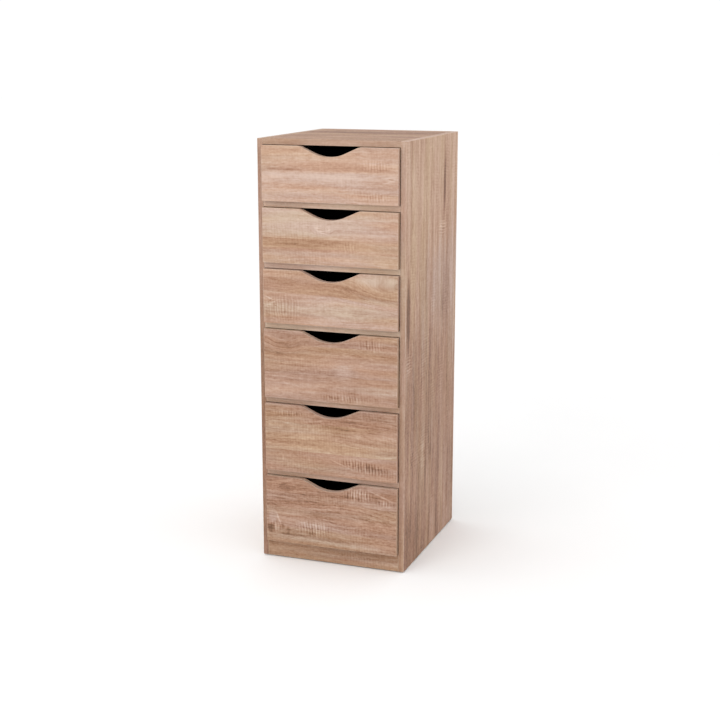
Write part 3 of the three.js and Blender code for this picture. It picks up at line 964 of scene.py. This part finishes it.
def add_head(bm, place, outward, shape):
    """A round head with a cross recess. It stands on place and faces outward."""
    radius, height, sink, recess = shape
    turn = Vector(outward).to_track_quat("Z", "Y").to_matrix().to_4x4()
    matrix = Matrix.Translation(place) @ turn
    cross = cross_points(radius * CROSS_REACH, radius * CROSS_HALF_BREADTH)
    angles = [math.atan2(y, x) for x, y in cross]

    def ring(size, level):
        points = [(size * math.cos(angle), size * math.sin(angle), level) for angle in angles]
        return [bm.verts.new(matrix @ Vector(point)) for point in points]

    base = ring(radius * 0.62, -sink)
    rim_low = ring(radius, height * 0.35)
    rim_high = ring(radius * 0.93, height)
    mouth = [bm.verts.new(matrix @ Vector((x, y, height))) for x, y in cross]
    floor = [bm.verts.new(matrix @ Vector((x * 0.8, y * 0.8, height - recess))) for x, y in cross]
    rings = (base, rim_low, rim_high, mouth, floor)
    for lower, upper in zip(rings, rings[1:]):
        for i in range(len(cross)):
            j = (i + 1) % len(cross)
            bm.faces.new((lower[i], lower[j], upper[j], upper[i]))
    bm.faces.new(floor)
    bm.faces.new(list(reversed(base)))


def heads_piece(name, body, slot, heads, shape):
    """One piece of zinc-plated heads. heads are (place, outward) pairs."""
    bm = bmesh.new()
    for place, outward in heads:
        add_head(bm, Vector(place), outward, shape)
    bmesh.ops.recalc_face_normals(bm, faces=bm.faces)
    add_piece(name, bm, [ZINC], body, slot)


def make_runner_screws():
    """Countersunk screws that sit in the runners' holes."""
    for hand, side in SIDES:
        heads = []
        for number in range(1, DRAWERS + 1):
            low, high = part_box(f"drawer_{number}_runner_{hand}")
            inner = high[0] if side < 0 else low[0]
            across = inner + side * RUNNER_SCREW_SINK
            middle = (low[2] + high[2]) / 2
            front, rear = low[1] + RUNNER_SCREW_SETBACK, high[1] - RUNNER_SCREW_SETBACK
            for along in (front, (low[1] + high[1]) / 2, rear):
                heads.append(((across, along, middle), (-side, 0, 0)))
        heads_piece(f"runner_screws_{hand}", "carcass", "runner_plastic", heads, RUNNER_SCREW)


def make_drawer_fixings(number):
    """Cams behind the front, screws in the back and screws under the bottom, all on the drawer."""
    body = f"drawer_{number}"
    left_low, left_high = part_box(f"{body}_side_left")
    back_low, back_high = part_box(f"{body}_back")
    runner_low, runner_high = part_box(f"{body}_runner_left")
    below = (left_low[2] + DRAWER_FOOT + runner_low[2]) / 2
    above = (left_high[2] + runner_high[2]) / 2
    rear_middle = (back_low[1] + back_high[1]) / 2
    screws, cams = [], []
    for _, side in SIDES:
        outer = side * abs(left_low[0])
        inner = side * abs(left_high[0])
        for level in (below, above):
            screws.append(((outer, rear_middle, level), (side, 0, 0)))
            cams.append(((inner, left_low[1] + DRAWER_CAM_SETBACK, level), (-side, 0, 0)))
    heads_piece(f"{body}_back_screws", body, FOIL_SLOT, screws, BACK_SCREW)
    heads_piece(f"{body}_cams", body, FOIL_SLOT, cams, DRAWER_CAM)
    bottom_low, bottom_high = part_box(f"{body}_bottom")
    screws = []
    for share in (0.12, 0.5, 0.88):
        across = bottom_low[0] + share * (bottom_high[0] - bottom_low[0])
        screws.append(((across, rear_middle, bottom_low[2]), (0, 0, -1)))
    heads_piece(f"{body}_bottom_screws", body, "dark_hardboard", screws, BOTTOM_SCREW)


def make_carcass_fixings():
    """Cam fittings under the top, the rails and the bottom, and the screws of the back panel."""
    cams = []
    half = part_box("rail_1")[1][0] - CARCASS_CAM_INSET
    boards = [f"rail_{number}" for number in range(1, DRAWERS)] + ["top_panel", "bottom_panel"]
    for node in boards:
        low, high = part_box(node)
        places = [low[1] + CARCASS_CAM_FRONT]
        if high[1] - low[1] > DEEP_BOARD:
            places.append(high[1] - CARCASS_CAM_REAR)
        for along in places:
            for _, side in SIDES:
                cams.append(((side * half, along, low[2]), (0, 0, -1)))
    heads_piece("carcass_cams", "carcass", WOOD_SLOT, cams, CARCASS_CAM)
    low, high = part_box("back_panel")
    floor_low, floor_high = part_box("bottom_panel")
    screws = []
    for share in (0.08, 0.36, 0.64, 0.92):
        across = low[0] + share * (high[0] - low[0])
        screws.append(((across, high[1], (floor_low[2] + floor_high[2]) / 2), (0, 1, 0)))
    heads_piece("back_panel_screws", "carcass", "hardboard", screws, BACK_PANEL_SCREW)


# ======================================================================================
# Studio
# ======================================================================================
def make_floor():
    """A wide floor under the chest, which belongs to the studio."""
    bm = bmesh.new()
    bmesh.ops.create_grid(bm, x_segments=8, y_segments=8, size=FLOOR_HALF_SIZE)
    mesh = bpy.data.meshes.new("studio_floor")
    bm.to_mesh(mesh)
    bm.free()
    mesh.materials.append(studio_floor())
    floor = bpy.data.objects.new("studio_floor", mesh)
    bpy.context.scene.collection.objects.link(floor)


def make_key_light():
    """A soft round light in front of the chest and above it, a little to the left."""
    data = bpy.data.lights.new("key", "AREA")
    data.shape = "DISK"
    data.size = KEY_SIZE
    data.energy = KEY_WATTS
    light = bpy.data.objects.new("key", data)
    light.location = KEY_PLACE
    light.rotation_mode = "QUATERNION"
    light.rotation_quaternion = (Vector(KEY_AIM) - Vector(KEY_PLACE)).to_track_quat("-Z", "Y")
    bpy.context.scene.collection.objects.link(light)


def make_studio():
    """White surroundings, the floor and the key light."""
    scene = bpy.context.scene
    scene.view_settings.view_transform = "Standard"
    world = bpy.data.worlds.new("studio")
    world.use_nodes = True
    background = world.node_tree.nodes["Background"]
    background.inputs["Color"].default_value = (1.0, 1.0, 1.0, 1.0)
    background.inputs["Strength"].default_value = WORLD_LIGHT
    scene.world = world
    make_floor()
    make_key_light()


def make_camera():
    """The main view."""
    data = bpy.data.cameras.new("camera")
    data.lens = CAMERA_LENS
    data.sensor_width = CAMERA_SENSOR
    data.clip_start = CAMERA_NEAR
    data.clip_end = CAMERA_FAR
    camera = bpy.data.objects.new("camera", data)
    azimuth, elevation = math.radians(CAMERA_AZIMUTH), math.radians(CAMERA_ELEVATION)
    ahead = Vector((
        -math.sin(azimuth) * math.cos(elevation),
        math.cos(azimuth) * math.cos(elevation),
        -math.sin(elevation),
    ))
    camera.location = CAMERA_PLACE
    camera.rotation_mode = "QUATERNION"
    camera.rotation_quaternion = ahead.to_track_quat("-Z", "Y")
    bpy.context.scene.collection.objects.link(camera)
    bpy.context.scene.camera = camera


make_camera()
make_studio()
make_carcass()
for drawer_number in range(1, DRAWERS + 1):
    make_drawer(drawer_number)
    make_drawer_fixings(drawer_number)
make_runner_screws()
make_carcass_fixings()
